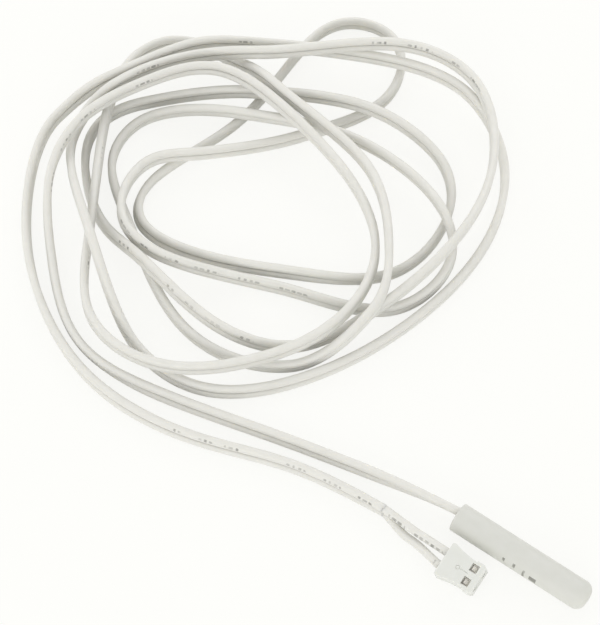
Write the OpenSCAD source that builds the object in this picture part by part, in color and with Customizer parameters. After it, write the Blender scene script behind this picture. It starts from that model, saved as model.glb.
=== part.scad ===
// Temperature probe: a small closed tube with a sensing bead potted inside, on a thin flat
// twin lead that lies in loose loops and ends, split into its two cores, in a two-way
// connector. Millimetres, +Z up, +X from the lead's end of the tube to its closed tip.
// The tube lies on the surface z = 0 with the middle of its length above the origin.

/* [Probe] */
// Length of the closed tube
probe_len = 25; // [20:0.5:30]
// Outside diameter of the tube
probe_d = 5; // [4.8:0.1:7]
// Wall of the tube
cap_wall = 0.4; // [0.25:0.05:0.5]
// Thickness of the closed end
tip_wall = 0.9; // [0.5:0.1:1.5]
// Radius of the rounded edge at the closed end
tip_r = 1.7; // [0.8:0.1:1.9]
// Radius of the softened edge at the open end
rim_r = 0.2; // [0.05:0.05:0.2]
// How far the potting stops short of the open end
potting_recess = 0.15; // [0.05:0.05:0.5]

/* [Sensor] */
// Diameter of the coated bead
bead_d = 2.6; // [2.2:0.1:3]
// Resin left between the bead and the closed end
bead_gap = 0.7; // [0.4:0.1:1.5]
// Diameter of the bead's lead wires
lead_d = 0.3; // [0.2:0.05:0.45]
// How far each lead wire goes into the bead
lead_bite = 0.6; // [0.3:0.1:0.8]
// Outside diameter of the sleeve over each lead wire
sleeve_d = 0.9; // [0.7:0.05:1.1]
// Outside diameter of the ferrule that joins a lead wire to a core
splice_d = 1.2; // [1:0.05:1.35]
// Length of that ferrule
splice_len = 2.4; // [1.6:0.2:3]

/* [Lead] */
// Diameter of one insulated core, and the narrow side of the flat lead
core_d = 1.45; // [1.2:0.05:1.45]
// Diameter of the stranded conductor in each core
strand_d = 0.6; // [0.4:0.05:0.7]
// Length of the flat lead held in the potting
potted_len = 3.5; // [2.5:0.5:4.5]
// Length of each separated core inside the potting
inner_core_len = 2.5; // [1.5:0.5:3]
// Bare conductor between the core's insulation and the ferrule
bare_len = 1; // [0.5:0.25:1.5]
// Sideways place of the lead where it leaves the tube
exit_side = 0.8; // [0:0.1:0.8]

/* [Connector] */
// Length of the housing
conn_len = 6.8; // [6.4:0.1:8]
// Width across the gripping ears at the lead's end
ear_w = 6.1; // [6:0.1:7.2]
// Length of the straight part of the ears
ear_len = 0.6; // [0.5:0.1:1.2]
// Width of the narrow middle
waist_w = 4.8; // [4.8:0.1:5.2]
// Width of the front that enters the header
front_w = 5.2; // [5.1:0.1:6]
// Length of that front
front_len = 1.9; // [1.5:0.1:2.2]
// Height of the housing
conn_h = 3.6; // [3.6:0.1:4.6]
// Distance between the two contacts
pitch = 2.5; // [2.4:0.05:2.6]
// Width of each contact's box
contact_w = 1.5; // [1.3:0.05:1.6]
// Thickness of the contact's sheet
sheet = 0.15; // [0.1:0.05:0.2]
// Side of the square opening for each pin of the header
pin_way = 0.9; // [0.7:0.05:1]
// How far the housing leans to its right as it lies
conn_roll = 15; // [0:1:20]

/* [Hidden] */

$fn = 48;
fit = 0.04;          // clearance round a piece that slides into another
strand_gap = 0.1;    // air between strands that cross
floor_gap = 0.05;    // air between the lead and the surface
over = 0.5;          // how far a cutter passes the face that it opens

axis_z = probe_d / 2;
bore_r = probe_d / 2 - cap_wall;
back_x = -probe_len / 2;
cord_h = 2 * core_d;
core_off = core_d / 2 + fit;
inner_tip_r = max(tip_r - tip_wall, 0.3);

// Distances from the open end of the tube, in the order of assembly
core_end = potted_len + inner_core_len;
splice_start = core_end + bare_len;
wire_meet = splice_start + splice_len / 2;
splice_end = splice_start + splice_len;
bead_mid = probe_len - tip_wall - bead_gap - bead_d / 2;
wire_end = bead_mid - sqrt(bead_d * bead_d / 4 - core_off * core_off) + lead_bite;
sleeve_end = wire_end - lead_bite - 0.3;

// The lead leaves near the top of the bore, with the resin all round it
exit_rise = bore_r - core_d - 0.4;
lead_exit = [0, exit_side, axis_z + exit_rise];

// Where the lead lies: x and y from the open end of the tube, and the number of strands
// that the lead passes over there, chosen by hand along each loop in turn.
lead_out = [[-7, 0, 0.3], [-28.5, -4, 0], [-51.5, -9.5, 0], [-70, -10, 0], [-83.5, -0.5, 0.2]];
loop_one = [[-93, 12, 1.8], [-94, 24, 2.5], [-89.5, 36, 2.3], [-82, 45, 2.1], [-69, 45.5, 2.2],
            [-53.5, 42, 1.9], [-40, 34.5, 1.1], [-35, 19, 1.8], [-41.5, 5, 1.2], [-55, -6.5, 1.1],
            [-70.5, -6, 0.9]];
loop_two = [[-80, 5.5, 1.1], [-88.5, 19.5, 1.1], [-95.5, 33.5, 0.9], [-96, 46.5, 0], [-85, 51.5, 0],
            [-70.5, 48, 2.3], [-49, 44.5, 1.9], [-36.5, 33.5, 2], [-31.5, 21.5, 2], [-38.5, 7, 0],
            [-57, 2.5, 0]];
loop_three = [[-77.5, 13.5, 0], [-88, 22.5, 0], [-87.5, 33, 0.2], [-73, 42, 1.1], [-56, 48.5, 1.1],
              [-36.5, 47, 1.2], [-27, 38.5, 0.7], [-31, 25.5, 0], [-49.5, 18, 0], [-67.5, 10.5, 1]];
small_loop = [[-79, 13.5, 1.1], [-81, 24, 1.1], [-74, 31.5, 1], [-63.5, 45.5, 0], [-55.5, 61, 0],
              [-61, 72, 0], [-71, 70, 0], [-74, 59, 0], [-74.5, 40.5, 0], [-79.5, 22.5, 0]];
loop_four = [[-76, 15, 0], [-63.5, 15.5, 0], [-47.5, 22.5, 0], [-34, 32.5, 0], [-33.5, 48.5, 0],
             [-42, 56, 0.3], [-58, 55, 1.1], [-75, 46.5, 1], [-90.5, 35, 0], [-94, 24, 0],
             [-83.5, 12, 0]];
loop_five = [[-69.5, 7.5, 1.2], [-52, 5.5, 0.6], [-39.5, 11, 0], [-31, 25.5, 1.1], [-27.5, 43, 2.1],
             [-32.5, 60.5, 1.7], [-45, 71, 1.6], [-60, 67, 2.1], [-77, 52.5, 2.2], [-88, 45, 1.5],
             [-94, 31.5, 2.3], [-95, 20.5, 1]];
loop_six = [[-80, 6, 2.3], [-62, -5, 0.1], [-47, -4.5, 0], [-34.5, 7.5, 0], [-26.5, 25.5, 0],
            [-24.5, 46.5, 0], [-32, 63, 0], [-46, 69, 0.9], [-63.5, 64, 1.1], [-79, 55.5, 1.3],
            [-90, 47, 1.3], [-96, 33, 2], [-101, 23, 0.3]];
lead_back = [[-95, 7, 0], [-82, -6.5, 0], [-63.5, -14.5, 0], [-43.5, -13, 0], [-28, -8, 0],
             [-15, -6, 0], [-10.5, -5.65, 0]];
route = concat(lead_out, loop_one, loop_two, loop_three, small_loop, loop_four, loop_five,
               loop_six, lead_back);

// Where the two separated cores lie, in the same way but with true heights
split_heading = [13, 1, 0];
conn_from = [2.4, -7.5];
left_way = [[-5, -6.05, 2.4], [-1, -6.2, 2.65]];
right_way = [[-6.9, -6.75, 0.8], [-4.8, -7.2, 0.95], [-2.4, -7.5, 1.3]];

// Heights and lengths inside the connector, from its own lead end
conn_mid = conn_h / 2;
conn_z = conn_mid * cos(conn_roll) + ear_w / 2 * sin(conn_roll);
contact_h = core_d + 2 * fit + 2 * sheet + 0.07;
chamber_w = contact_w + 2 * fit;
chamber_h = contact_h + 2 * fit;
entry_d = core_d + 2 * sheet + 4 * fit;
entry_len = 2.2;
grip_from = 0.6;
grip_len = 1;
core_stop = grip_from + grip_len + 0.3;
barrel_from = core_stop + 0.15;
barrel_len = 0.9;
box_from = barrel_from + barrel_len + 0.2;
chamber_from = grip_from + grip_len - 0.4;
front_wall = 0.5;
box_end = conn_len - front_wall - fit;
window_len = 1.3;
window_from = conn_len - 2.3;
window_w = 1.4;
lance_w = 0.8;
ear_r = 0.38;
ring_x = 0.41 * conn_len;
ring_d = 0.8;
ring_line = 0.18;
mark_depth = 0.12;

// A place at a distance from the open end of the tube, in the frame of the part
function from_end(p) = [back_x + p[0], p[1], p[2]];
function lift(strands) = floor_gap + cord_h / 2 + strands * (cord_h + strand_gap);
cord_points = concat([[back_x + potted_len, 0, axis_z]], [from_end(lead_exit)],
                     [for (p = route) from_end([p[0], p[1], lift(p[2])])]);
split_from = cord_points[len(cord_points) - 1];

// Rings of a swept section: each ring stands across the way that the points run
function unit(v) = v / norm(v);
function heading(p, i) = unit(p[min(i + 1, len(p) - 1)] - p[max(i - 1, 0)]);
function leftward(way) = unit(cross([0, 0, 1], way));
function ring(at, way, section) = let (left = leftward(way), above = cross(way, left))
    [for (s = section) at + s[0] * left + s[1] * above];

// Eight points round the flat lead on its edge, and round one core
flat_section = [for (s = [[1, -0.55], [1, 0.55], [0.4, 1], [-0.4, 1],
                          [-1, 0.55], [-1, -0.55], [-0.4, -1], [0.4, -1]])
                [s[0] * core_d / 2, s[1] * cord_h / 2]];
round_section = [for (k = [0:7]) core_d / 2 * [cos(45 * k + 22.5), sin(45 * k + 22.5)]];

module swept(points, section, first, last) {
    rings = len(points);
    sides = len(section);
    corners = [for (i = [0:rings - 1])
        each ring(points[i], i == 0 ? unit(first) : i == rings - 1 ? unit(last) : heading(points, i),
                  section)];
    walls = [for (i = [0:rings - 2], j = [0:sides - 1])
        let (a = i * sides + j, b = i * sides + (j + 1) % sides)
        each [[a, a + sides, b + sides], [a, b + sides, b]]];
    near = [for (j = [0:sides - 1]) j];
    far = [for (j = [sides - 1:-1:0]) (rings - 1) * sides + j];
    polyhedron(corners, concat([near], walls, [far]));
}

// Section of a tube with one closed end, its edges rounded, standing on its open end
module bullet_section(r, length, round_r) {
    intersection() {
        square([r, length]);
        union() {
            square([r, length - round_r]);
            square([r - round_r, length]);
            translate([r - round_r, length - round_r]) circle(round_r);
        }
    }
}

module probe_section() {
    difference() {
        bullet_section(probe_d / 2, probe_len, tip_r);
        translate([0, -over]) bullet_section(bore_r, probe_len - tip_wall + over, inner_tip_r);
        translate([probe_d / 2 - rim_r, -over]) square([rim_r + over, over + rim_r]);
    }
    translate([probe_d / 2 - rim_r, rim_r]) circle(rim_r);
}

// Turns what stands along Z at the origin to lie along the tube, from its open end
module along_tube(from) {
    translate([back_x + from, 0, axis_z]) rotate([0, 90, 0]) children();
}

// A rod along the tube between two distances, above or below the middle by half a pitch
module rod(d, from, to, side) {
    translate([back_x + from, 0, axis_z + side * core_off])
        rotate([0, 90, 0]) cylinder(d = d, h = to - from);
}

module probe_cap() {
    color("gainsboro") along_tube(0) rotate_extrude() probe_section();
}

module potted_lead() {
    swept([for (i = [0:2]) cord_points[i]], flat_section, [-1, 0, 0],
          cord_points[2] - cord_points[1]);
}

module potting_resin() {
    color("whitesmoke") difference() {
        along_tube(potting_recess)
            rotate_extrude()
            bullet_section(bore_r, probe_len - tip_wall - potting_recess, inner_tip_r);
        potted_lead();
        bead_body();
        for (side = [-1, 1]) {
            rod(core_d, potted_len, core_end, side);
            rod(strand_d, core_end - over, wire_meet, side);
            rod(splice_d, splice_start, splice_end, side);
            rod(sleeve_d, splice_end - fit, sleeve_end, side);
            rod(lead_d, wire_meet, wire_end, side);
        }
    }
}

module bead_body() {
    translate([back_x + bead_mid, 0, axis_z]) sphere(d = bead_d);
}

module thermistor_bead() {
    color("black") difference() {
        bead_body();
        for (side = [-1, 1]) rod(lead_d, wire_meet, wire_end, side);
    }
}

module thermistor_lead(side) {
    color("silver") rod(lead_d, wire_meet, wire_end, side);
}

module lead_sleeve(side) {
    color("ivory") difference() {
        rod(sleeve_d, splice_end, sleeve_end, side);
        rod(lead_d + 2 * fit, splice_end - over, sleeve_end + over, side);
    }
}

module splice(side) {
    color("goldenrod") difference() {
        rod(splice_d, splice_start, splice_end, side);
        rod(strand_d, splice_start - over, wire_meet, side);
        rod(lead_d, wire_meet - over, splice_end + over, side);
    }
}

module inner_core(side) {
    color("lightgray") difference() {
        rod(core_d, potted_len, core_end, side);
        rod(strand_d, core_end - over, core_end + over, side);
    }
}

module inner_conductor(side) {
    color("peru") rod(strand_d, core_end - over, wire_meet, side);
}

module twin_cord() {
    color("lightgray") swept(cord_points, flat_section, [-1, 0, 0], split_heading);
}

// One separated core, from its half of the flat lead's end to its contact
module split_core(side, way) {
    left = leftward(split_heading);
    above = cross(unit(split_heading), left);
    start = split_from + (side > 0 ? 1 : -1) * core_d / 2 * above;
    inside = core_place(side);
    points = concat([start], [for (p = way) from_end(p)],
                    [inside, inside + [core_stop, 0, 0]]);
    color("lightgray") difference() {
        swept(points, round_section, split_heading, [1, 0, 0]);
        translate(inside + [core_stop - over, 0, 0])
            rotate([0, 90, 0]) cylinder(d = strand_d, h = 2 * over);
    }
}

// Middle of a core where it enters the housing; side 1 is nearer the tube
function core_place(side) = [back_x + conn_from[0],
                             conn_from[1] + side * pitch / 2 * cos(conn_roll),
                             conn_z + side * pitch / 2 * sin(conn_roll)];

// Outline of one half of the housing: ears, the hollow flank, and the shouldered front
module housing_outline() {
    flank = conn_len - front_len - ear_len;
    steps = 8;
    hollow = [for (k = [0:steps])
        let (t = k / steps)
        [ear_len + flank * t, waist_w / 2 + (ear_w - waist_w) / 2 * (1 - t) * (1 - t)]];
    front = [[conn_len - front_len + 0.15, front_w / 2], [conn_len - 0.5, front_w / 2],
             [conn_len, front_w / 2 - 0.35]];
    tip = [for (k = [0:6]) [ear_r - ear_r * cos(15 * k), ear_w / 2 - ear_r + ear_r * sin(15 * k)]];
    half = concat(tip, hollow, front);
    polygon(concat(half, [for (k = [len(half) - 1:-1:0]) [half[k][0], -half[k][1]]]));
}

module at_connector() {
    translate([back_x + conn_from[0], conn_from[1], conn_z])
        rotate([conn_roll, 0, 0]) translate([0, 0, -conn_mid]) children();
}

module cut_box(from, to, wide, low, high, y = 0) {
    translate([from, y - wide / 2, low]) cube([to - from, wide, high - low]);
}

// The way through the housing for one contact, and the window over its box
module contact_way(y) {
    translate([-over, y, conn_mid]) rotate([0, 90, 0]) cylinder(d = entry_d, h = entry_len + over);
    cut_box(chamber_from, conn_len - front_wall, chamber_w, conn_mid - chamber_h / 2,
            conn_mid + chamber_h / 2, y);
    cut_box(conn_len - front_wall - over, conn_len + over, pin_way, conn_mid - pin_way / 2,
            conn_mid + pin_way / 2, y);
    cut_box(window_from, window_from + window_len, window_w, conn_mid, conn_h + over, y);
}

module connector_housing() {
    color("whitesmoke") at_connector() difference() {
        linear_extrude(conn_h) housing_outline();
        for (side = [-1, 1]) contact_way(side * pitch / 2);
        translate([ring_x, 0, conn_h - mark_depth]) difference() {
            cylinder(d = ring_d, h = mark_depth + over);
            cylinder(d = ring_d - 2 * ring_line, h = mark_depth + over);
        }
        cut_box(ring_x + ring_d / 2 + 0.15, window_from + 0.2, ring_line, conn_h - mark_depth,
                conn_h + over);
    }
}

// Stamped contact: a box for the pin with a spring tongue inside and a holding lance on top,
// a neck, and two crimp barrels
module crimp_contact(side) {
    low = conn_mid - contact_h / 2;
    high = conn_mid + contact_h / 2;
    lance_tip = window_from + 0.25;
    lance_root = window_from + window_len - 0.1;
    lance_rise = conn_h - 0.3 - high;
    lance_len = norm([lance_root - lance_tip, lance_rise]);
    color("darkgray") at_connector() translate([0, side * pitch / 2, 0]) {
        difference() {
            cut_box(box_from, box_end, contact_w, low, high);
            cut_box(box_from - over, box_end + over, contact_w - 2 * sheet, low + sheet,
                    high - sheet);
            cut_box(lance_tip - 0.15, lance_root - 0.25, lance_w + 0.1, high - over, high + over);
        }
        translate([lance_root, -lance_w / 2, high - sheet])
            rotate([0, atan2(lance_rise, lance_root - lance_tip), 0])
            translate([-lance_len, 0, 0]) cube([lance_len, lance_w, sheet]);
        translate([box_end - 1.2, -0.3, low + sheet])
            rotate([0, 20, 0]) translate([-0.9, 0, 0]) cube([1, 0.6, sheet]);
        crimp_barrel(barrel_from, barrel_len, strand_d / 2 + fit);
        crimp_barrel(grip_from, grip_len, core_d / 2 + fit);
        cut_box(grip_from + grip_len - 0.2, box_from + 0.2, 0.5, low, low + sheet);
        cut_box(barrel_from + 0.1, barrel_from + barrel_len - 0.1, 0.5, low + sheet / 2,
                conn_mid - strand_d / 2 - fit - sheet / 2);
    }
}

// A rolled barrel round a wire, open along the top by a narrow seam
module crimp_barrel(from, length, inner_r) {
    difference() {
        translate([from, 0, conn_mid]) rotate([0, 90, 0]) cylinder(r = inner_r + sheet, h = length);
        translate([from - over, 0, conn_mid])
            rotate([0, 90, 0]) cylinder(r = inner_r, h = length + 2 * over);
        cut_box(from - over, from + length + over, 0.12, conn_mid, conn_mid + inner_r + over);
    }
}

module contact_strands(side) {
    color("peru") translate(core_place(side) + [core_stop - over, 0, 0])
        rotate([0, 90, 0]) cylinder(d = strand_d, h = barrel_from + barrel_len + 0.1 - core_stop + over);
}

probe_cap();
potting_resin();
thermistor_bead();
thermistor_lead(1);  // thermistor_lead_upper
thermistor_lead(-1);  // thermistor_lead_lower
lead_sleeve(1);  // lead_sleeve_upper
lead_sleeve(-1);  // lead_sleeve_lower
splice(1);  // splice_upper
splice(-1);  // splice_lower
inner_core(1);  // inner_core_upper
inner_core(-1);  // inner_core_lower
inner_conductor(1);  // inner_conductor_upper
inner_conductor(-1);  // inner_conductor_lower
twin_cord();
split_core(1, left_way);  // split_core_left
split_core(-1, right_way);  // split_core_right
connector_housing();
crimp_contact(1);  // crimp_contact_left
crimp_contact(-1);  // crimp_contact_right
contact_strands(1);  // contact_strands_left
contact_strands(-1);  // contact_strands_right
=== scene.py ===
"""Temperature probe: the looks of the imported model, in metres and in its frame."""
import logging
from dataclasses import dataclass, field
from enum import Enum
from math import cos, pi, radians, sin

import bmesh
import bpy
import numpy as np
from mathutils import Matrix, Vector


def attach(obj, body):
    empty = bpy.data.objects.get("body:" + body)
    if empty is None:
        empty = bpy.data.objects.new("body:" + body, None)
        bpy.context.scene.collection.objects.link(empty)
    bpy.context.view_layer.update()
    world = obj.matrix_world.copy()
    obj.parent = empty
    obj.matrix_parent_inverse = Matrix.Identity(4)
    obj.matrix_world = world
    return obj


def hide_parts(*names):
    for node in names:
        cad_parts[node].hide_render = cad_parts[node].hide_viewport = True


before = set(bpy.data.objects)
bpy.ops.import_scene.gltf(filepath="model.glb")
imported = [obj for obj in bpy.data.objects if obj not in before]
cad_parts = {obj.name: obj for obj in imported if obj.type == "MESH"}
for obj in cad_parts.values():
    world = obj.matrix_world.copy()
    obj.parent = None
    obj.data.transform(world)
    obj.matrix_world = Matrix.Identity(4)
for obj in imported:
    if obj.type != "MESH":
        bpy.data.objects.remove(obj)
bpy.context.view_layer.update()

LOG = logging.getLogger("temperature_probe")
MM = 0.001

# The sizes and places that the pieces share, as the part's source has them. BACK_X is the
# tube's open end, from which the lead and the connector are measured.
TUBE_LENGTH = 25.0 * MM
TUBE_RADIUS = 2.5 * MM
BACK_X = -TUBE_LENGTH / 2
CORE_DIAMETER = 1.45 * MM
CORD_HEIGHT = 2 * CORE_DIAMETER
FLOOR_GAP = 0.05 * MM
STRAND_GAP = 0.1 * MM
CONNECTOR_X = 2.4 * MM
CONNECTOR_Y = -7.5 * MM
CONNECTOR_ROLL = radians(15)
HOUSING_HEIGHT = 3.6 * MM
EAR_WIDTH = 6.1 * MM
CONNECTOR_MID = HOUSING_HEIGHT / 2 * cos(CONNECTOR_ROLL) + EAR_WIDTH / 2 * sin(CONNECTOR_ROLL)
PITCH = 2.5 * MM

# The lead's route as the part's source has it: millimetres from the tube's open end, and the
# number of strands that it passes over
LEAD_EXIT = (0.0, 0.8, 2.75)
LEAD_ROUTE = (
    (-7, 0, 0.3), (-28.5, -4, 0), (-51.5, -9.5, 0), (-70, -10, 0), (-83.5, -0.5, 0.2),
    (-93, 12, 1.8), (-94, 24, 2.5), (-89.5, 36, 2.3), (-82, 45, 2.1), (-69, 45.5, 2.2),
    (-53.5, 42, 1.9), (-40, 34.5, 1.1), (-35, 19, 1.8), (-41.5, 5, 1.2), (-55, -6.5, 1.1),
    (-70.5, -6, 0.9), (-80, 5.5, 1.1), (-88.5, 19.5, 1.1), (-95.5, 33.5, 0.9), (-96, 46.5, 0),
    (-85, 51.5, 0), (-70.5, 48, 2.3), (-49, 44.5, 1.9), (-36.5, 33.5, 2), (-31.5, 21.5, 2),
    (-38.5, 7, 0), (-57, 2.5, 0), (-77.5, 13.5, 0), (-88, 22.5, 0), (-87.5, 33, 0.2),
    (-73, 42, 1.1), (-56, 48.5, 1.1), (-36.5, 47, 1.2), (-27, 38.5, 0.7), (-31, 25.5, 0),
    (-49.5, 18, 0), (-67.5, 10.5, 1), (-79, 13.5, 1.1), (-81, 24, 1.1), (-74, 31.5, 1),
    (-63.5, 45.5, 0), (-55.5, 61, 0), (-61, 72, 0), (-71, 70, 0), (-74, 59, 0), (-74.5, 40.5, 0),
    (-79.5, 22.5, 0), (-76, 15, 0), (-63.5, 15.5, 0), (-47.5, 22.5, 0), (-34, 32.5, 0),
    (-33.5, 48.5, 0), (-42, 56, 0.3), (-58, 55, 1.1), (-75, 46.5, 1), (-90.5, 35, 0),
    (-94, 24, 0), (-83.5, 12, 0), (-69.5, 7.5, 1.2), (-52, 5.5, 0.6), (-39.5, 11, 0),
    (-31, 25.5, 1.1), (-27.5, 43, 2.1), (-32.5, 60.5, 1.7), (-45, 71, 1.6), (-60, 67, 2.1),
    (-77, 52.5, 2.2), (-88, 45, 1.5), (-94, 31.5, 2.3), (-95, 20.5, 1), (-80, 6, 2.3),
    (-62, -5, 0.1), (-47, -4.5, 0), (-34.5, 7.5, 0), (-26.5, 25.5, 0), (-24.5, 46.5, 0),
    (-32, 63, 0), (-46, 69, 0.9), (-63.5, 64, 1.1), (-79, 55.5, 1.3), (-90, 47, 1.3),
    (-96, 33, 2), (-101, 23, 0.3), (-95, 7, 0), (-82, -6.5, 0), (-63.5, -14.5, 0),
    (-43.5, -13, 0), (-28, -8, 0), (-15, -6, 0), (-10.5, -5.65, 0),
)

# How far the lead leans on its way, in degrees to the right: the number of the route's point,
# counted from the tube, and the lean there
LEAD_LEANS = (
    (0, -24), (0.8, -18), (1.6, 14), (3, 18), (3.8, -8), (5, 8), (8, 0), (9.6, -14), (11, 0),
    (13, 4), (15, 6), (17, 0), (21.5, -10), (24, 0), (35.5, 6), (37.5, 8), (40, -6), (42, 0),
    (48.6, -18), (50, -14), (50.7, 4), (55, 6), (58.5, -8), (60, -12), (61.5, 0), (64, 4),
    (67, 8), (70, 0), (73, -14), (74.5, -4), (79, 6), (82.6, 8), (84, 6), (85.5, 0),
    (86.5, -16), (89, -8), (90, -2),
)


class Face(Enum):
    """The side of the lead that carries ink, looking the way that the route runs."""

    LEFT = 1
    RIGHT = -1


# Where the ink is still to be seen: from and to along the lead, in millimetres, and on which side
INK_STRETCHES = (
    (100, 104, Face.RIGHT), (108, 112, Face.RIGHT), (114.5, 118, Face.RIGHT),
    (126.5, 130.5, Face.RIGHT), (262.5, 266, Face.RIGHT), (267, 268.5, Face.RIGHT),
    (284, 287, Face.RIGHT), (578.5, 584.5, Face.LEFT), (587.5, 592, Face.LEFT),
    (595, 599, Face.LEFT), (601.5, 604.5, Face.LEFT), (607.5, 609, Face.LEFT),
    (611, 615, Face.LEFT), (924, 928, Face.RIGHT), (935.5, 938.5, Face.RIGHT),
    (940, 943.5, Face.RIGHT), (945, 948, Face.RIGHT), (951, 954.5, Face.RIGHT),
    (1027, 1031.5, Face.LEFT), (1034, 1037, Face.LEFT), (1040, 1045, Face.LEFT),
    (1048, 1052, Face.LEFT), (1091, 1095, Face.LEFT), (1106, 1109, Face.RIGHT),
    (1110.5, 1113.5, Face.RIGHT), (1301, 1304, Face.LEFT), (1414.5, 1417, Face.RIGHT),
    (1419, 1422, Face.RIGHT), (1424, 1427, Face.RIGHT), (1435, 1438.5, Face.RIGHT),
    (1441.5, 1445, Face.RIGHT), (1448, 1450.5, Face.RIGHT),
)


def linear(code: str) -> tuple[float, float, float, float]:
    """Turns an sRGB hex colour into linear light, by that standard's own curve.

    Args:
        code: the colour as "#RRGGBB".

    Returns:
        Red, green, blue and alpha, as a colour socket takes them.
    """
    parts = [int(code[i:i + 2], 16) / 255 for i in (1, 3, 5)]
    light = [c / 12.92 if c <= 0.04045 else ((c + 0.055) / 1.055) ** 2.4 for c in parts]
    return (*light, 1.0)


def add_node(tree: bpy.types.NodeTree, kind: str,
             inputs: dict[str | int, object] | None = None,
             **settings: object) -> bpy.types.Node:
    """Adds one shader node with its settings and links.

    Args:
        tree: the material's node tree.
        kind: the node's type name.
        inputs: a value or another node's output for each input, by name or number.
        **settings: the node's own properties.

    Returns:
        The new node.
    """
    node = tree.nodes.new(kind)
    for key, value in settings.items():
        setattr(node, key, value)
    for key, value in (inputs or {}).items():
        if isinstance(value, bpy.types.NodeSocket):
            tree.links.new(value, node.inputs[key])
        else:
            node.inputs[key].default_value = value
    return node


def blank_material(name: str) -> tuple[bpy.types.Material, bpy.types.NodeTree, bpy.types.Node]:
    """Makes a material that has only its output.

    Args:
        name: the material's name.

    Returns:
        The material, its tree and its output node.
    """
    material = bpy.data.materials.new(name)
    material.use_nodes = True
    material.node_tree.nodes.clear()
    output = add_node(material.node_tree, "ShaderNodeOutputMaterial")
    return material, material.node_tree, output


class Slot(Enum):
    """The record's material slots, by name."""

    CAP = "cap_plastic"
    POTTING = "potting"
    VINYL = "cord_vinyl"
    NYLON = "housing_nylon"


@dataclass(frozen=True)
class Finish:
    """A plain finish with a fine grain that comes from how the surface was made.

    The grain is drawn coarser than the real one, as fine as a close view can show.
    """

    name: str
    colour: str
    shade: str
    roughness: float
    ior: float = 1.5
    metallic: float = 0.0
    mottle_mm: float = 2.0
    mottle_detail: float = 2.0
    grain_mm: float = 0.12
    grain_detail: float = 3.0
    grain_depth_mm: float = 0.004
    subsurface: float = 0.0
    subsurface_mm: float = 0.6
    subsurface_reach: tuple[float, float, float] = (1.0, 0.98, 0.93)

    def colour_socket(self, tree: bpy.types.NodeTree) -> bpy.types.NodeSocket:
        """Mixes the two close tones in soft patches.

        Args:
            tree: the material's node tree.

        Returns:
            The mixed colour.
        """
        place = add_node(tree, "ShaderNodeTexCoord")
        patches = add_node(tree, "ShaderNodeTexNoise", {
            "Vector": place.outputs["Object"], "Scale": 1 / (self.mottle_mm * MM),
            "Detail": self.mottle_detail})
        mix = add_node(tree, "ShaderNodeMix", {
            "Factor": patches.outputs["Fac"], "A": linear(self.shade), "B": linear(self.colour)},
            data_type="RGBA")
        return mix.outputs["Result"]

    def bump_socket(self, tree: bpy.types.NodeTree) -> bpy.types.NodeSocket:
        """Gives the grain of the mould or the drawing die.

        Args:
            tree: the material's node tree.

        Returns:
            The bumped normal.
        """
        place = add_node(tree, "ShaderNodeTexCoord")
        grain = add_node(tree, "ShaderNodeTexNoise", {
            "Vector": place.outputs["Object"], "Scale": 1 / (self.grain_mm * MM),
            "Detail": self.grain_detail})
        bump = add_node(tree, "ShaderNodeBump", {
            "Height": grain.outputs["Fac"], "Distance": self.grain_depth_mm * MM,
            "Strength": 1.0})
        return bump.outputs["Normal"]

    def build(self) -> bpy.types.Material:
        """Makes the material.

        Returns:
            The material, ready to be given to a piece.
        """
        material, tree, output = blank_material(self.name)
        shader = add_node(tree, "ShaderNodeBsdfPrincipled", {
            "Base Color": self.colour_socket(tree), "Roughness": self.roughness,
            "Metallic": self.metallic, "IOR": self.ior, "Normal": self.bump_socket(tree),
            "Subsurface Weight": self.subsurface, "Subsurface Radius": self.subsurface_reach,
            "Subsurface Scale": self.subsurface_mm * MM})
        tree.links.new(shader.outputs["BSDF"], output.inputs["Surface"])
        return material


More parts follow.
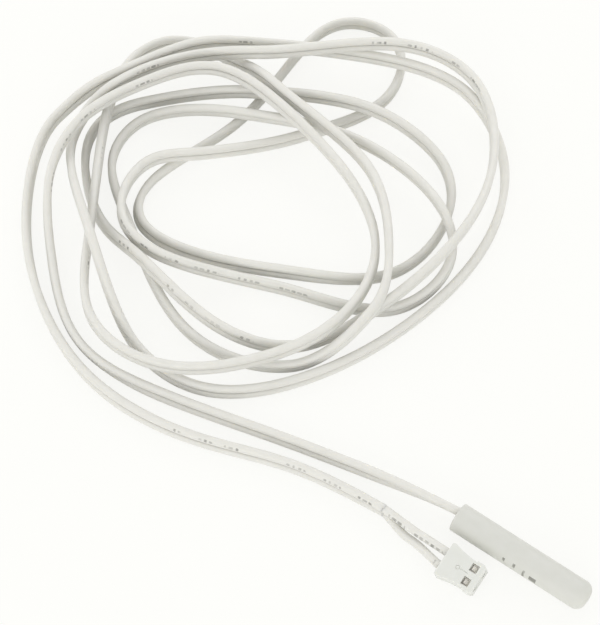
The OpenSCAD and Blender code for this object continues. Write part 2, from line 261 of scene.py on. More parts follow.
@dataclass(frozen=True)
class PrintedVinyl(Finish):
    """Extruded vinyl insulation with faded ink dashes along one side of the flat lead.

    The mesh's UV map gives the distance along the lead in metres and the place round it. Its
    attributes "ink" and "groove" say where the print is and where shade is painted in the groove.

    Each dash has a cell of dash_mm along the lead, and reaches both ways from its middle by a
    share of it between shortest_half and longest_half. The band's edge lies, by chance, where
    the ink attribute is between edge_low and edge_high. The wear's noise leaves the ink off
    below bare_below and whole above whole_above.
    """

    # Painted shade along the groove where the cores meet: its colour, how dark it is and how
    # narrow
    groove: str = "#8A887E"
    groove_shade_depth: float = 0.5
    groove_shade_sharpness: float = 2.0
    ink: str = "#706F68"
    ink_strength: float = 0.72
    dash_mm: float = 1.1
    shortest_half: float = 0.22
    longest_half: float = 0.52
    end_sharpness: float = 6.0
    faintest: float = 0.4
    edge_low: float = 0.3
    edge_high: float = 0.6
    edge_sharpness: float = 4.0
    wear_mm: float = 2.5
    wear_detail: float = 1.0
    bare_below: float = 0.2
    whole_above: float = 0.53

    def colour_socket(self, tree: bpy.types.NodeTree) -> bpy.types.NodeSocket:
        """Lays the dashes over the vinyl with its painted groove shade.

        Args:
            tree: the material's node tree.

        Returns:
            The colour with the groove's painted shade and its ink.
        """
        base = self.shade_groove(tree, super().colour_socket(tree))
        dash, chance = self.dash_sockets(tree)
        printed = add_node(tree, "ShaderNodeMath", {
            0: dash, 1: self.band_socket(tree, chance)}, operation="MULTIPLY")
        left = add_node(tree, "ShaderNodeMath", {
            0: printed.outputs["Value"], 1: self.wear_socket(tree)}, operation="MULTIPLY")
        mix = add_node(tree, "ShaderNodeMix", {
            "Factor": left.outputs["Value"], "A": base, "B": linear(self.ink)},
            data_type="RGBA")
        return mix.outputs["Result"]

    def shade_groove(self, tree: bpy.types.NodeTree,
                plain: bpy.types.NodeSocket) -> bpy.types.NodeSocket:
        """Paints shade into the line where the two cores meet.

        Args:
            tree: the material's node tree.
            plain: the vinyl's own colour.

        Returns:
            The colour with the groove's painted shade.
        """
        groove_shade_mask = add_node(tree, "ShaderNodeAttribute", attribute_name="groove")
        hollow = add_node(tree, "ShaderNodeMath", {
            0: groove_shade_mask.outputs["Fac"], 1: self.groove_shade_sharpness}, operation="POWER")
        depth = add_node(tree, "ShaderNodeMath", {
            0: hollow.outputs["Value"], 1: self.groove_shade_depth}, operation="MULTIPLY")
        mix = add_node(tree, "ShaderNodeMix", {
            "Factor": depth.outputs["Value"], "A": plain, "B": linear(self.groove)},
            data_type="RGBA")
        return mix.outputs["Result"]

    def dash_sockets(self, tree: bpy.types.NodeTree
                     ) -> tuple[bpy.types.NodeSocket, bpy.types.NodeSocket]:
        """Breaks the print along the lead into dashes of uneven length and strength.

        Args:
            tree: the material's node tree.

        Returns:
            The dashes' strength, and a chance number that is the same all over one dash.
        """
        lay = add_node(tree, "ShaderNodeUVMap", uv_map="lay")
        along = add_node(tree, "ShaderNodeSeparateXYZ", {"Vector": lay.outputs["UV"]})
        cells = add_node(tree, "ShaderNodeMath", {
            0: along.outputs["X"], 1: self.dash_mm * MM}, operation="DIVIDE")
        cell = add_node(tree, "ShaderNodeMath", {0: cells.outputs["Value"]}, operation="FLOOR")
        dice = add_node(tree, "ShaderNodeTexWhiteNoise", {"W": cell.outputs["Value"]},
                        noise_dimensions="1D")
        place = add_node(tree, "ShaderNodeMath", {0: cells.outputs["Value"]}, operation="FRACT")
        beyond = add_node(tree, "ShaderNodeMath", {
            0: place.outputs["Value"], 1: 0.5}, operation="SUBTRACT")
        off_middle = add_node(tree, "ShaderNodeMath", {0: beyond.outputs["Value"]},
                              operation="ABSOLUTE")
        half = add_node(tree, "ShaderNodeMapRange", {
            "Value": dice.outputs["Value"], "To Min": self.shortest_half,
            "To Max": self.longest_half})
        room = add_node(tree, "ShaderNodeMath", {
            0: half.outputs["Result"], 1: off_middle.outputs["Value"]}, operation="SUBTRACT")
        inside = add_node(tree, "ShaderNodeMath", {
            0: room.outputs["Value"], 1: self.end_sharpness}, operation="MULTIPLY",
            use_clamp=True)
        colours = add_node(tree, "ShaderNodeSeparateColor", {"Color": dice.outputs["Color"]})
        fading = add_node(tree, "ShaderNodeMapRange", {
            "Value": colours.outputs["Green"], "To Min": self.faintest})
        dash = add_node(tree, "ShaderNodeMath", {
            0: inside.outputs["Value"], 1: fading.outputs["Result"]}, operation="MULTIPLY")
        return dash.outputs["Value"], dice.outputs["Value"]

    def band_socket(self, tree: bpy.types.NodeTree,
                    chance: bpy.types.NodeSocket) -> bpy.types.NodeSocket:
        """Keeps the dashes to a narrow band on the lead's side.

        Args:
            tree: the material's node tree.
            chance: each dash's own chance number, which moves the band's edge.

        Returns:
            One on the band and nothing beside it.
        """
        inked = add_node(tree, "ShaderNodeAttribute", attribute_name="ink")
        edge = add_node(tree, "ShaderNodeMapRange", {
            "Value": chance, "To Min": self.edge_low, "To Max": self.edge_high})
        over = add_node(tree, "ShaderNodeMath", {
            0: inked.outputs["Fac"], 1: edge.outputs["Result"]}, operation="SUBTRACT")
        band = add_node(tree, "ShaderNodeMath", {
            0: over.outputs["Value"], 1: self.edge_sharpness}, operation="MULTIPLY",
            use_clamp=True)
        return band.outputs["Value"]

    def wear_socket(self, tree: bpy.types.NodeTree) -> bpy.types.NodeSocket:
        """Wears the ink off in patches.

        Args:
            tree: the material's node tree.

        Returns:
            How much of the ink is left.
        """
        place = add_node(tree, "ShaderNodeTexCoord")
        wear = add_node(tree, "ShaderNodeTexNoise", {
            "Vector": place.outputs["Object"], "Scale": 1 / (self.wear_mm * MM),
            "Detail": self.wear_detail})
        left = add_node(tree, "ShaderNodeMapRange", {
            "Value": wear.outputs["Fac"], "From Min": self.bare_below,
            "From Max": self.whole_above, "To Max": self.ink_strength})
        return left.outputs["Result"]


@dataclass(frozen=True)
class TickedPlastic(Finish):
    """Moulded plastic with four worn tick bars in grey ink across its flank.

    Each bar is given by its middle along the tube, its angle from the top toward -Y, its half
    width along the tube in millimetres and its half height round the tube in degrees. The
    wear's noise leaves the ink off below bare_below and whole above whole_above.
    """

    bar_ink: str = "#7A7971"
    bar_strength: float = 0.85
    bar_wear_mm: float = 1.1
    bare_below: float = 0.3
    whole_above: float = 0.56
    bars: tuple[tuple[float, float, float, float], ...] = (
        (-2.2, 80, 0.22, 20), (-0.25, 79, 0.24, 21), (1.65, 80, 0.2, 21), (3.4, 80, 0.65, 12))

    def colour_socket(self, tree: bpy.types.NodeTree) -> bpy.types.NodeSocket:
        """Lays the tick bars over the plain plastic.

        Args:
            tree: the material's node tree.

        Returns:
            The colour with its bars.
        """
        base = super().colour_socket(tree)
        place = add_node(tree, "ShaderNodeTexCoord")
        wear = add_node(tree, "ShaderNodeTexNoise", {
            "Vector": place.outputs["Object"], "Scale": 1 / (self.bar_wear_mm * MM),
            "Detail": 0.0})
        left = add_node(tree, "ShaderNodeMapRange", {
            "Value": wear.outputs["Fac"], "From Min": self.bare_below,
            "From Max": self.whole_above, "To Max": self.bar_strength})
        inked = add_node(tree, "ShaderNodeMath", {
            0: self.bars_socket(tree, place.outputs["Object"]), 1: left.outputs["Result"]},
            operation="MULTIPLY")
        mix = add_node(tree, "ShaderNodeMix", {
            "Factor": inked.outputs["Value"], "A": base, "B": linear(self.bar_ink)},
            data_type="RGBA")
        return mix.outputs["Result"]

    def bars_socket(self, tree: bpy.types.NodeTree,
                    place: bpy.types.NodeSocket) -> bpy.types.NodeSocket:
        """Draws the bars by the distance along the tube and the angle round it.

        Args:
            tree: the material's node tree.
            place: the place on the tube.

        Returns:
            One on the bars and nothing beside them.
        """
        split = add_node(tree, "ShaderNodeSeparateXYZ", {"Vector": place})
        toward = add_node(tree, "ShaderNodeMath", {0: split.outputs["Y"], 1: -1.0},
                          operation="MULTIPLY")
        above = add_node(tree, "ShaderNodeMath", {0: split.outputs["Z"], 1: TUBE_RADIUS},
                         operation="SUBTRACT")
        angle = add_node(tree, "ShaderNodeMath", {
            0: toward.outputs["Value"], 1: above.outputs["Value"]}, operation="ARCTAN2")
        covered = 0.0
        for middle_mm, middle_deg, half_mm, half_deg in self.bars:
            along = add_node(tree, "ShaderNodeMath", {
                0: split.outputs["X"], 1: middle_mm * MM, 2: half_mm * MM}, operation="COMPARE")
            around = add_node(tree, "ShaderNodeMath", {
                0: angle.outputs["Value"], 1: radians(middle_deg), 2: radians(half_deg)},
                operation="COMPARE")
            bar = add_node(tree, "ShaderNodeMath", {
                0: along.outputs["Value"], 1: around.outputs["Value"]}, operation="MULTIPLY")
            covered = add_node(tree, "ShaderNodeMath", {
                0: covered, 1: bar.outputs["Value"]}, operation="MAXIMUM").outputs["Value"]
        return covered


# Moulded plastic of the closed tube: off-white and satin, with hardly any grain
CAP_PLASTIC = TickedPlastic("moulded_tube_plastic", "#DDDDD6", "#D6D6CD", 0.42, 1.5,
                            subsurface=0.3, subsurface_mm=1.5)
# Cast epoxy: a little yellower than the tube and smoother, where it set against air
POTTING_RESIN = Finish("cast_epoxy", "#DEDACB", "#D6D2C2", 0.25, 1.55)
# Dipped epoxy bead: black and glossy
BEAD_COATING = Finish("dipped_black_epoxy", "#16150F", "#0F0E0A", 0.2, 1.55)
# Drawn copper wire with a dip of tin: a bright, cool grey
TINNED_WIRE = Finish("tinned_copper_wire", "#C9C7C1", "#B5B3AD", 0.32, metallic=1.0)
# Thin extruded sleeve over a bare wire: cream, with a half gloss
SLEEVE_PLASTIC = Finish("extruded_sleeve", "#E8E2CE", "#DFD8C2", 0.4, 1.45)
# Rolled brass ferrule: yellow, with a soft shine
SPLICE_BRASS = Finish("rolled_brass", "#C6A25B", "#B8934C", 0.35, metallic=1.0)
# Extruded vinyl on the lead: light grey, with the soft gloss of a drawn skin, and light goes
# a little way into it
LEAD_VINYL = PrintedVinyl("extruded_grey_vinyl", "#E4E3DE", "#DDDCD6", 0.42, 1.53,
                          subsurface=0.8, subsurface_mm=0.8)
# The same vinyl on the cores inside the tube, which carry no print
CORE_VINYL = Finish("extruded_grey_vinyl_core", "#E4E3DE", "#DDDCD6", 0.42, 1.53,
                    subsurface=0.8, subsurface_mm=0.8)
# Moulded natural nylon: whitish grey-green and a little translucent
HOUSING_NYLON = Finish("moulded_natural_nylon", "#E4E5DF", "#DEDFD9", 0.4, 1.53,
                       subsurface=0.4, subsurface_mm=0.5)
# Stamped phosphor bronze with a matte tin plate: a pale metal with a dull shine
CONTACT_TIN = Finish("matte_tin_plate", "#F0EDE7", "#E4E1DA", 0.55, metallic=1.0)


def mesh_object(name: str, bm: bmesh.types.BMesh, material: bpy.types.Material,
                nodes: tuple[str, ...], sharp_deg: float) -> bpy.types.Object:
    """Turns a bmesh into a piece that rides on the object and stands for its CAD nodes.

    Args:
        name: the piece's name.
        bm: the finished mesh, which is freed.
        material: the finish of the piece.
        nodes: the CAD nodes that the piece stands for.
        sharp_deg: edges that turn by more than this many degrees stay sharp.

    Returns:
        The new object.
    """
    for face in bm.faces:
        face.smooth = True
    for edge in bm.edges:
        edge.smooth = len(edge.link_faces) == 2 and edge.calc_face_angle(0) < radians(sharp_deg)
    mesh = bpy.data.meshes.new(name)
    bm.to_mesh(mesh)
    bm.free()
    piece = bpy.data.objects.new(name, mesh)
    bpy.context.scene.collection.objects.link(piece)
    piece.data.materials.append(material)
    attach(piece, "root")
    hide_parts(*nodes)
    LOG.info("%s: %d faces", name, len(mesh.polygons))
    return piece


def dress_nodes(finishes: dict[str, Finish]) -> None:
    """Gives CAD nodes their finishes, one material for each finish.

    Args:
        finishes: the finish of each node by name.
    """
    built = {}
    for name, finish in finishes.items():
        if finish.name not in built:
            built[finish.name] = finish.build()
        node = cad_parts[name]
        for place in node.material_slots:
            place.material = built[finish.name]
        LOG.info("%s: %s", name, finish.name)


def natural_spline(knots: np.ndarray, values: np.ndarray, at: np.ndarray) -> np.ndarray:
    """Passes a smooth curve with free ends through the values.

    Args:
        knots: the parameter of each value.
        values: one value for each knot.
        at: the parameters wanted.

    Returns:
        The curve's value at each wanted parameter.
    """
    n = len(knots)
    step = np.diff(knots)
    system = np.eye(n)
    right = np.zeros(n)
    for i in range(1, n - 1):
        system[i, i - 1] = step[i - 1]
        system[i, i] = 2 * (step[i - 1] + step[i])
        system[i, i + 1] = step[i]
        right[i] = 6 * ((values[i + 1] - values[i]) / step[i]
                        - (values[i] - values[i - 1]) / step[i - 1])
    bend = np.linalg.solve(system, right)
    i = np.clip(np.searchsorted(knots, at, side="right") - 1, 0, n - 2)
    h = step[i]
    a = (knots[i + 1] - at) / h
    b = (at - knots[i]) / h
    return (a * values[i] + b * values[i + 1]
            + ((a ** 3 - a) * bend[i] + (b ** 3 - b) * bend[i + 1]) * h * h / 6)


def level_spline(knots: np.ndarray, values: np.ndarray, at: np.ndarray) -> np.ndarray:
    """Passes a curve through the values that never swings past them.

    Args:
        knots: the parameter of each value.
        values: one value for each knot.
        at: the parameters wanted.

    Returns:
        The curve's value at each wanted parameter.
    """
    step = np.diff(knots)
    rise = np.diff(values) / step
    slope = np.zeros(len(knots))
    for i in range(1, len(knots) - 1):
        if rise[i - 1] * rise[i] > 0:
            w1 = 2 * step[i] + step[i - 1]
            w2 = step[i] + 2 * step[i - 1]
            slope[i] = (w1 + w2) / (w1 / rise[i - 1] + w2 / rise[i])
    slope[0], slope[-1] = rise[0], rise[-1]
    i = np.clip(np.searchsorted(knots, at, side="right") - 1, 0, len(knots) - 2)
    h = step[i]
    t = (at - knots[i]) / h
    return ((1 + 2 * t) * (1 - t) ** 2 * values[i] + t * (1 - t) ** 2 * h * slope[i]
            + t * t * (3 - 2 * t) * values[i + 1] + t * t * (t - 1) * h * slope[i + 1])


def laid_curve(points: np.ndarray, spacing: float) -> tuple[np.ndarray, np.ndarray]:
    """Lays a smooth line through points, level where they are level.

    Args:
        points: the points of the route, in metres.
        spacing: the distance between the returned points.

    Returns:
        Points along the curve, close to that far apart, and the number of the route's point
        that each has come to.
    """
    flat = np.linalg.norm(np.diff(points[:, :2], axis=0), axis=1)
    knots = np.concatenate([[0.0], np.cumsum(np.sqrt(flat))])
    fine = np.concatenate([np.linspace(knots[i], knots[i + 1],
                                       max(2, int(round(flat[i] / spacing))), endpoint=False)
                           for i in range(len(flat))] + [[knots[-1]]])
    curve = np.stack([natural_spline(knots, points[:, 0], fine),
                      natural_spline(knots, points[:, 1], fine),
                      level_spline(knots, points[:, 2], fine)], axis=1)
    return curve, np.interp(fine, knots, np.arange(len(knots)))


def distance_along(path: np.ndarray) -> np.ndarray:
    """Gives how far along its path each point lies, in metres."""
    return np.concatenate([[0.0], np.cumsum(np.linalg.norm(np.diff(path, axis=0), axis=1))])


def swept_mesh(path: np.ndarray, section: list[tuple[float, float]],
               turn: np.ndarray | None = None) -> bmesh.types.BMesh:
    """Sweeps a closed section along a path, with a UV map of the distance and the way round.

    Args:
        path: the points that the section's origin follows.
        section: places of the section's corners, to the left and upward.
        turn: how far the section is rolled about the path at each point, in radians.

    Returns:
        The swept mesh, with its ends closed.
    """
    bm = bmesh.new()
    lay = bm.loops.layers.uv.new("lay")
    ways = np.gradient(path, axis=0)
    ways /= np.linalg.norm(ways, axis=1)[:, None]
    along = distance_along(path)
    rings = []
    for i in range(len(path)):
        way = Vector(ways[i])
        left = Vector((0, 0, 1)).cross(way).normalized()
        above = way.cross(left)
        roll = 0.0 if turn is None else float(turn[i])
        side = left * cos(roll) + above * sin(roll)
        top = above * cos(roll) - left * sin(roll)
        middle = Vector(path[i])
        rings.append([bm.verts.new(middle + side * a + top * b) for a, b in section])
    sides = len(section)
    for i in range(len(path) - 1):
        for j in range(sides):
            k = (j + 1) % sides
            face = bm.faces.new((rings[i][j], rings[i][k], rings[i + 1][k], rings[i + 1][j]))
            ends = ((along[i], j), (along[i], j + 1), (along[i + 1], j + 1), (along[i + 1], j))
            for loop, (u, v) in zip(face.loops, ends):
                loop[lay].uv = (u, v / sides)
    bm.faces.new(list(reversed(rings[0])))
    bm.faces.new(rings[-1])
    bmesh.ops.recalc_face_normals(bm, faces=bm.faces)
    return bm


def figure_section(core_r: float, web_half: float, steps: int) -> list[tuple[float, float]]:
    """Draws the flat lead's section: two round cores joined by a narrow web.

    Args:
        core_r: the radius of each core.
        web_half: half the thickness of the web between them.
        steps: how many sides each core's arc has.

    Returns:
        The corners, to the left and upward, once round from the groove on the left.
    """
    start = np.arcsin(web_half / core_r)
    arc = [start + (2 * pi - 2 * start) * k / steps for k in range(steps + 1)]
    upper = [(core_r * sin(a), core_r - core_r * cos(a)) for a in arc]
    lower = [(-a, -b) for a, b in upper]
    return upper + lower


def circle_section(radius: float, steps: int) -> list[tuple[float, float]]:
    """Gives the corners of a round section, from its underside round by the left."""
    return [(radius * sin(2 * pi * k / steps), -radius * cos(2 * pi * k / steps))
            for k in range(steps)]


@dataclass(frozen=True)
class InkMarks:
    """Where a core carries dark dashes, drawn as the print is: from and to along it, in
    millimetres, and how far round.

    Each row is a corner of the core's section and how strongly it is marked.
    """

    stretches: tuple[tuple[float, float], ...]
    rows: tuple[tuple[int, float], ...]


@dataclass
class TwinLead:
    """The flat twin lead in its loose loops.

    Each ink row is a corner of the section, counted up from the groove, and its ink.
    """

    spacing: float = 0.9 * MM
    web_half: float = 0.27 * MM
    arc_steps: int = 16
    sharp_deg: float = 50.0
    ink_rows: tuple[tuple[int, float], ...] = ((3, 0.3), (4, 1.0), (5, 0.9))
    path: np.ndarray = field(init=False)
    reached: np.ndarray = field(init=False)

    def __post_init__(self) -> None:
        """Lays the lead's middle line."""
        self.path, self.reached = laid_curve(self.route(), self.spacing)

    def route(self) -> np.ndarray:
        """Gives the points that the lead passes, in metres.

        Returns:
            One row for each point, from the tube to where the cores part.
        """
        pitch = CORD_HEIGHT + STRAND_GAP
        low = FLOOR_GAP + CORD_HEIGHT / 2
        first = [BACK_X + LEAD_EXIT[0] * MM, LEAD_EXIT[1] * MM, LEAD_EXIT[2] * MM]
        rest = [[BACK_X + x * MM, y * MM, low + lift * pitch] for x, y, lift in LEAD_ROUTE]
        return np.array([first] + rest)

    def end_way(self) -> np.ndarray:
        """Gives the direction that the lead ends in."""
        way = self.path[-1] - self.path[-2]
        return way / np.linalg.norm(way)

    def make(self, vinyl: bpy.types.Material) -> bpy.types.Object:
        """Sweeps the lead along its route.

        Args:
            vinyl: the insulation's material.

        Returns:
            The flat lead.
        """
        numbers, leans = zip(*LEAD_LEANS)
        turn = level_spline(np.array(numbers, float), np.radians(np.array(leans, float)),
                            self.reached)
        section = figure_section(CORE_DIAMETER / 2, self.web_half, self.arc_steps)
        bm = swept_mesh(self.path, section, turn)
        self.mark(bm, len(section))
        return mesh_object("twin_lead", bm, vinyl, ("twin_cord",), self.sharp_deg)

    def mark(self, bm: bmesh.types.BMesh, sides: int) -> None:
        """Marks the groove, where shade is painted, and where the ink is beside it on the upper
        core.

        Args:
            bm: the swept lead, ring after ring.
            sides: the number of corners of each ring.
        """
        ink = bm.verts.layers.float.new("ink")
        groove = bm.verts.layers.float.new("groove")
        run = distance_along(self.path) / MM
        bm.verts.ensure_lookup_table()
        # The corners at the groove carry the painted shade
        for i in range(len(run)):
            for row in (0, self.arc_steps, self.arc_steps + 1, sides - 1):
                bm.verts[i * sides + row][groove] = 1.0
        for start, end, face in INK_STRETCHES:
            for i in np.nonzero((run >= start) & (run <= end))[0]:
                for row, amount in self.ink_rows:
                    place = row if face is Face.LEFT else self.arc_steps - row
                    bm.verts[int(i) * sides + place][ink] = amount


@dataclass
class SplitCores:
    """The two cores on their own, from the end of the flat lead to the contacts.

    Each way is the bends between the lead and the connector, in millimetres from the tube's
    open end. A core starts a little way inside the lead, so that no gap shows, and is a touch
    slimmer than the lead's own core, so that its start stays inside it.
    """

    overlap: float = 0.3 * MM
    inside: float = 1.9 * MM
    slimming: float = 0.985
    left_way: tuple[tuple[float, float, float], ...] = ((-5, -6.05, 2.4), (-1, -6.2, 2.65))
    right_way: tuple[tuple[float, float, float], ...] = (
        (-6.9, -6.75, 0.8), (-4.8, -7.2, 0.95), (-2.4, -7.5, 1.3))
    spacing: float = 0.5 * MM
    steps: int = 24
    sharp_deg: float = 35.0
    left_ink: InkMarks = InkMarks(
        ((1.6, 4.9), (6.8, 12.4)), ((15, 0.8), (16, 1.0), (17, 1.0), (18, 0.8)))
    # Dark patches on the right core's last stretch before the housing, drawn with the same dashes
    # as the print
    right_entry_marks: InkMarks = InkMarks(
        ((12.4, 13.8),), ((12, 0.8), (13, 1.0), (14, 0.6), (15, 1.0), (16, 0.8)))

    def make(self, lead_end: np.ndarray, way: np.ndarray,
             vinyl: bpy.types.Material) -> list[bpy.types.Object]:
        """Sweeps both cores.

        Args:
            lead_end: the middle of the flat lead's end.
            way: the direction that the lead ends in.
            vinyl: the insulation's material.

        Returns:
            The two cores.
        """
        made = []
        for name, side, route, marks in (
                ("split_core_left", 1, self.left_way, self.left_ink),
                ("split_core_right", -1, self.right_way, self.right_entry_marks)):
            start = lead_end + np.array([0, 0, side * CORE_DIAMETER / 2])
            entry = np.array([BACK_X + CONNECTOR_X,
                              CONNECTOR_Y + side * PITCH / 2 * cos(CONNECTOR_ROLL),
                              CONNECTOR_MID + side * PITCH / 2 * sin(CONNECTOR_ROLL)])
            bends = [[BACK_X + x * MM, y * MM, z * MM] for x, y, z in route]
            points = np.array([start - way * self.overlap, start, *bends, entry,
                               entry + [self.inside, 0, 0]])
            path, _ = laid_curve(points, self.spacing)
            bm = swept_mesh(path, circle_section(CORE_DIAMETER / 2 * self.slimming, self.steps))
            self.lay_ink(bm, distance_along(path) / MM, marks)
            made.append(mesh_object(name + "_vinyl", bm, vinyl, (name,),
                                    self.sharp_deg))
        return made

    def lay_ink(self, bm: bmesh.types.BMesh, run: np.ndarray, marks: InkMarks) -> None:
        """Marks the dashes along a core: the print that runs on along the left core, and the dark
        patches near the right core's end.

        Args:
            bm: the swept core, ring after ring.
            run: how far along the core each ring lies, in millimetres.
            marks: where the core's ink is.
        """
        ink = bm.verts.layers.float.new("ink")
        bm.verts.ensure_lookup_table()
        for start, end in marks.stretches:
            for i in np.nonzero((run >= start) & (run <= end))[0]:
                for row, amount in marks.rows:
                    bm.verts[int(i) * self.steps + row][ink] = amount


@dataclass
class ProbeTube:
    """The closed tube, with what is sealed inside it.

    The rounds at the open end start at the angle round_from, in radians, because the straight
    stretch before them has their first corner already.
    """

    wall: float = 0.4 * MM
    tip_wall: float = 0.9 * MM
    tip_r: float = 1.7 * MM
    rim_r: float = 0.2 * MM
    recess: float = 0.15 * MM
    meniscus: float = 0.5 * MM
    climb: float = 0.12 * MM
    turns: int = 72
    tip_arc: int = 10
    rim_arc: int = 5
    meniscus_arc: int = 8
    round_from: float = 0.2
    merge: float = 0.0001 * MM
    sharp_deg: float = 40.0

    @property
    def front(self) -> float:
        """Gives the tip's place along the tube."""
        return BACK_X + TUBE_LENGTH

    @property
    def bore(self) -> float:
        """Gives the radius of the tube's hollow."""
        return TUBE_RADIUS - self.wall

    @property
    def hollow_front(self) -> float:
        """Gives the place along the tube where its hollow ends."""
        return self.front - self.tip_wall

    @property
    def hollow_r(self) -> float:
        """Gives the radius of the round at the hollow's end."""
        return self.tip_r - self.tip_wall

    def profile(self) -> list[Vector]:
        """Draws the wall's section from the inside of the tip round the rim to the tip.

        Returns:
            Corners in the XZ plane through the tube's axis, the axis at Z 0.
        """
        points = [(self.hollow_front, 0.0)]
        points += [(self.hollow_front - self.hollow_r + self.hollow_r * cos(a),
                    self.bore - self.hollow_r + self.hollow_r * sin(a))
                   for a in np.linspace(0, pi / 2, self.tip_arc)]
        points += [(BACK_X, self.bore), (BACK_X, TUBE_RADIUS - self.rim_r)]
        points += [(BACK_X + self.rim_r - self.rim_r * cos(a),
                    TUBE_RADIUS - self.rim_r + self.rim_r * sin(a))
                   for a in np.linspace(self.round_from, pi / 2, self.rim_arc)]
        points += [(self.front - self.tip_r + self.tip_r * sin(a),
                    TUBE_RADIUS - self.tip_r + self.tip_r * cos(a))
                   for a in np.linspace(0, pi / 2, 2 * self.tip_arc)]
        points += [(self.front, 0.0)]
        return [Vector((x, 0, z)) for x, z in points]

    def make(self) -> bpy.types.Object:
        """Turns the tube about its axis."""
        bm = self.turned(self.profile())
        return mesh_object("closed_tube", bm, CAP_PLASTIC.build(), ("probe_cap",),
                           self.sharp_deg)

    def turned(self, profile: list[Vector]) -> bmesh.types.BMesh:
        """Turns a profile once round the tube's axis.

        Args:
            profile: corners in the XZ plane, the axis at Z 0, from one end to the other.

        Returns:
            The turned mesh, standing on the floor.
        """
        bm = bmesh.new()
        corners = [bm.verts.new(p) for p in profile]
        edges = [bm.edges.new(pair) for pair in zip(corners, corners[1:])]
        bmesh.ops.spin(bm, geom=corners + edges, cent=(0, 0, 0), axis=(1, 0, 0), dvec=(0, 0, 0),
                       angle=2 * pi, steps=self.turns, use_merge=True, use_normal_flip=False,
                       use_duplicate=False)
        bmesh.ops.remove_doubles(bm, verts=bm.verts, dist=self.merge)
        bmesh.ops.recalc_face_normals(bm, faces=bm.faces)
        bmesh.ops.translate(bm, verts=bm.verts, vec=(0, 0, TUBE_RADIUS))
        return bm

    def cast_resin(self) -> bpy.types.Object:
        """Turns the resin that fills the tube, with the hollow that it set in at the open end.

        Returns:
            The resin.
        """
        open_end = BACK_X + self.recess
        points = [(open_end, 0.0), (open_end, self.bore - self.meniscus)]
        points += [(open_end - self.climb * (1 - cos(a)),
                    self.bore - self.meniscus * (1 - sin(a)))
                   for a in np.linspace(self.round_from, pi / 2, self.meniscus_arc)]
        points += [(self.hollow_front - self.hollow_r + self.hollow_r * sin(a),
                    self.bore - self.hollow_r + self.hollow_r * cos(a))
                   for a in np.linspace(0, pi / 2, self.tip_arc)]
        points += [(self.hollow_front, 0.0)]
        bm = self.turned([Vector((x, 0, z)) for x, z in points])
        return mesh_object("cast_resin", bm, POTTING_RESIN.build(),
                           ("potting_resin",), self.sharp_deg)

    def dress_inside(self) -> None:
        """Gives the sealed pieces their finishes."""
        dress_nodes({
            "thermistor_bead": BEAD_COATING,
            "thermistor_lead_upper": TINNED_WIRE, "thermistor_lead_lower": TINNED_WIRE,
            "lead_sleeve_upper": SLEEVE_PLASTIC, "lead_sleeve_lower": SLEEVE_PLASTIC,
            "splice_upper": SPLICE_BRASS, "splice_lower": SPLICE_BRASS,
            "inner_core_upper": CORE_VINYL, "inner_core_lower": CORE_VINYL,
            "inner_conductor_upper": TINNED_WIRE, "inner_conductor_lower": TINNED_WIRE,
        })


@dataclass
class Connector:
    """The moulded housing and the two stamped contacts in it."""

    merge: float = 0.001 * MM
    flat_deg: float = 0.5
    sharp_deg: float = 30.0
    edge_width: float = 0.06 * MM
    edge_segments: int = 2
    edge_deg: float = 35.0

    def make_housing(self) -> bpy.types.Object:
        """Copies the CAD housing, joins its triangles and softens its moulded edges.

        Returns:
            The housing.
        """
        bm = bmesh.new()
        bm.from_mesh(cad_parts["connector_housing"].data)
        bmesh.ops.remove_doubles(bm, verts=bm.verts, dist=self.merge)
        bmesh.ops.dissolve_limit(bm, angle_limit=radians(self.flat_deg), verts=bm.verts,
                                 edges=bm.edges)
        bmesh.ops.recalc_face_normals(bm, faces=bm.faces)
        housing = mesh_object("moulded_housing", bm, HOUSING_NYLON.build(),
                              ("connector_housing",), self.sharp_deg)
        soften = housing.modifiers.new("moulded_edges", "BEVEL")
        soften.width = self.edge_width
        soften.segments = self.edge_segments
        soften.limit_method = "ANGLE"
        soften.angle_limit = radians(self.edge_deg)
        return housing

    def dress_contacts(self) -> None:
        """Gives the contacts and the strands in them their metal."""
        dress_nodes({"crimp_contact_left": CONTACT_TIN, "crimp_contact_right": CONTACT_TIN,
                     "contact_strands_left": TINNED_WIRE, "contact_strands_right": TINNED_WIRE})


@dataclass(frozen=True)
class Lamp:
    """One square soft lamp: its place and its side in metres, and its power in watts."""

    name: str
    place: tuple[float, float, float]
    size: float
    power: float


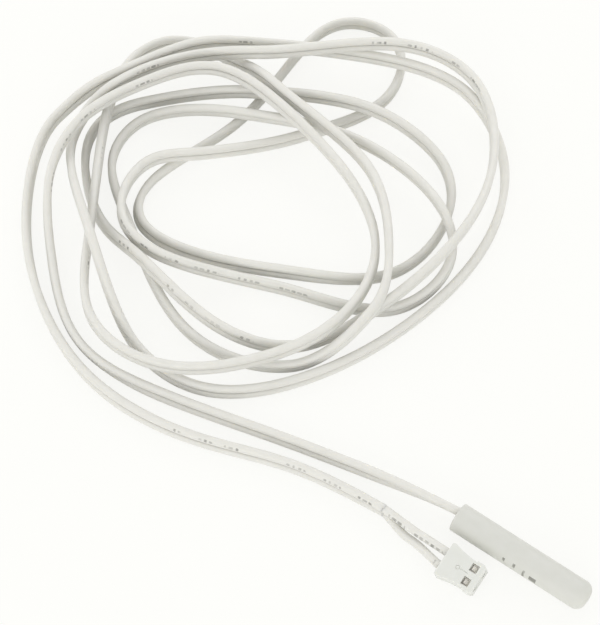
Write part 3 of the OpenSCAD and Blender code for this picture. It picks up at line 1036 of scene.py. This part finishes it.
@dataclass
class Studio:
    """The pale floor, the soft lamps and the camera.

    The camera and shiny surfaces see the floor as a white glow, with a small share of paper
    that keeps the shadow. Other light meets only the paper.
    """

    eye_mm: tuple[float, float, float] = (52.38, -136.32, 353.18)
    aim_mm: tuple[float, float, float] = (-55.98, 17.05, 0.0)
    lens_mm: float = 139.68
    sensor_mm: float = 36.0
    nearest: float = 0.01
    farthest: float = 20.0
    floor_half: float = 3.0
    paper: str = "#FAFAF7"
    glow: str = "#FEFEFB"
    glow_share: float = 0.86
    sky: str = "#FFFFFF"
    sky_strength: float = 0.8
    lamp_aim: tuple[float, float, float] = (-0.05, 0.02, 0.0)
    lamps: tuple[Lamp, ...] = (
        Lamp("tent_back", (-0.2, 0.6, 0.4), 0.6, 1.2),
        Lamp("tent_left", (-0.8, -0.2, 0.42), 0.5, 0.9),
        Lamp("tent_front", (0.32, -0.75, 0.42), 0.5, 2.0),
    )

    def place_camera(self) -> None:
        """Stands the camera where the photograph was taken."""
        data = bpy.data.cameras.new("view")
        data.lens = self.lens_mm
        data.sensor_fit = "HORIZONTAL"
        data.sensor_width = self.sensor_mm
        data.clip_start = self.nearest
        data.clip_end = self.farthest
        camera = bpy.data.objects.new("view", data)
        eye = Vector(self.eye_mm) * MM
        aim = Vector(self.aim_mm) * MM
        camera.location = eye
        camera.rotation_euler = (aim - eye).to_track_quat("-Z", "Y").to_euler()
        bpy.context.scene.collection.objects.link(camera)
        bpy.context.scene.camera = camera

    def lay_floor(self) -> None:
        """Lays a wide pale floor that keeps a faint shadow."""
        bm = bmesh.new()
        bmesh.ops.create_grid(bm, x_segments=1, y_segments=1, size=self.floor_half)
        mesh = bpy.data.meshes.new("floor")
        bm.to_mesh(mesh)
        bm.free()
        floor = bpy.data.objects.new("floor", mesh)
        bpy.context.scene.collection.objects.link(floor)
        material, tree, output = blank_material("paper_floor")
        paper = add_node(tree, "ShaderNodeBsdfDiffuse", {"Color": linear(self.paper)})
        glow = add_node(tree, "ShaderNodeEmission", {
            "Color": linear(self.glow), "Strength": 1.0})
        path = add_node(tree, "ShaderNodeLightPath")
        seen = add_node(tree, "ShaderNodeMath", {
            0: path.outputs["Is Camera Ray"], 1: path.outputs["Is Glossy Ray"]},
            operation="MAXIMUM")
        share = add_node(tree, "ShaderNodeMath", {
            0: seen.outputs["Value"], 1: self.glow_share}, operation="MULTIPLY")
        mix = add_node(tree, "ShaderNodeMixShader", {
            "Fac": share.outputs["Value"], 1: paper.outputs["BSDF"],
            2: glow.outputs["Emission"]})
        tree.links.new(mix.outputs["Shader"], output.inputs["Surface"])
        floor.data.materials.append(material)

    def add_lamp(self, lamp: Lamp) -> None:
        """Hangs one lamp that faces the object.

        Args:
            lamp: its name, place, side and power.
        """
        data = bpy.data.lights.new(lamp.name, "AREA")
        data.size = lamp.size
        data.energy = lamp.power
        hung = bpy.data.objects.new(lamp.name, data)
        hung.location = lamp.place
        facing = Vector(self.lamp_aim) - Vector(lamp.place)
        hung.rotation_euler = facing.to_track_quat("-Z", "Y").to_euler()
        bpy.context.scene.collection.objects.link(hung)

    def light(self) -> None:
        """Lights the object softly from above and all round."""
        world = bpy.data.worlds.new("tent")
        world.use_nodes = True
        world.node_tree.nodes.clear()
        output = add_node(world.node_tree, "ShaderNodeOutputWorld")
        sky = add_node(world.node_tree, "ShaderNodeBackground", {
            "Color": linear(self.sky), "Strength": self.sky_strength})
        world.node_tree.links.new(sky.outputs["Background"], output.inputs["Surface"])
        bpy.context.scene.world = world
        for lamp in self.lamps:
            self.add_lamp(lamp)

    def make(self) -> None:
        """Sets the scene and its plain view settings."""
        bpy.context.scene.view_settings.view_transform = "Standard"
        self.place_camera()
        self.lay_floor()
        self.light()


def main() -> None:
    """Builds the scene: camera and lead first, then the tube and the connector."""
    logging.basicConfig(level=logging.INFO, format="%(name)s %(message)s")
    Studio().make()
    vinyl = LEAD_VINYL.build()
    lead = TwinLead()
    cord = lead.make(vinyl)
    cores = SplitCores().make(lead.path[-1], lead.end_way(), vinyl)
    tube = ProbeTube()
    tube.make()
    tube.cast_resin()
    tube.dress_inside()
    connector = Connector()
    housing = connector.make_housing()
    connector.dress_contacts()


if __name__ == "__main__":
    main()
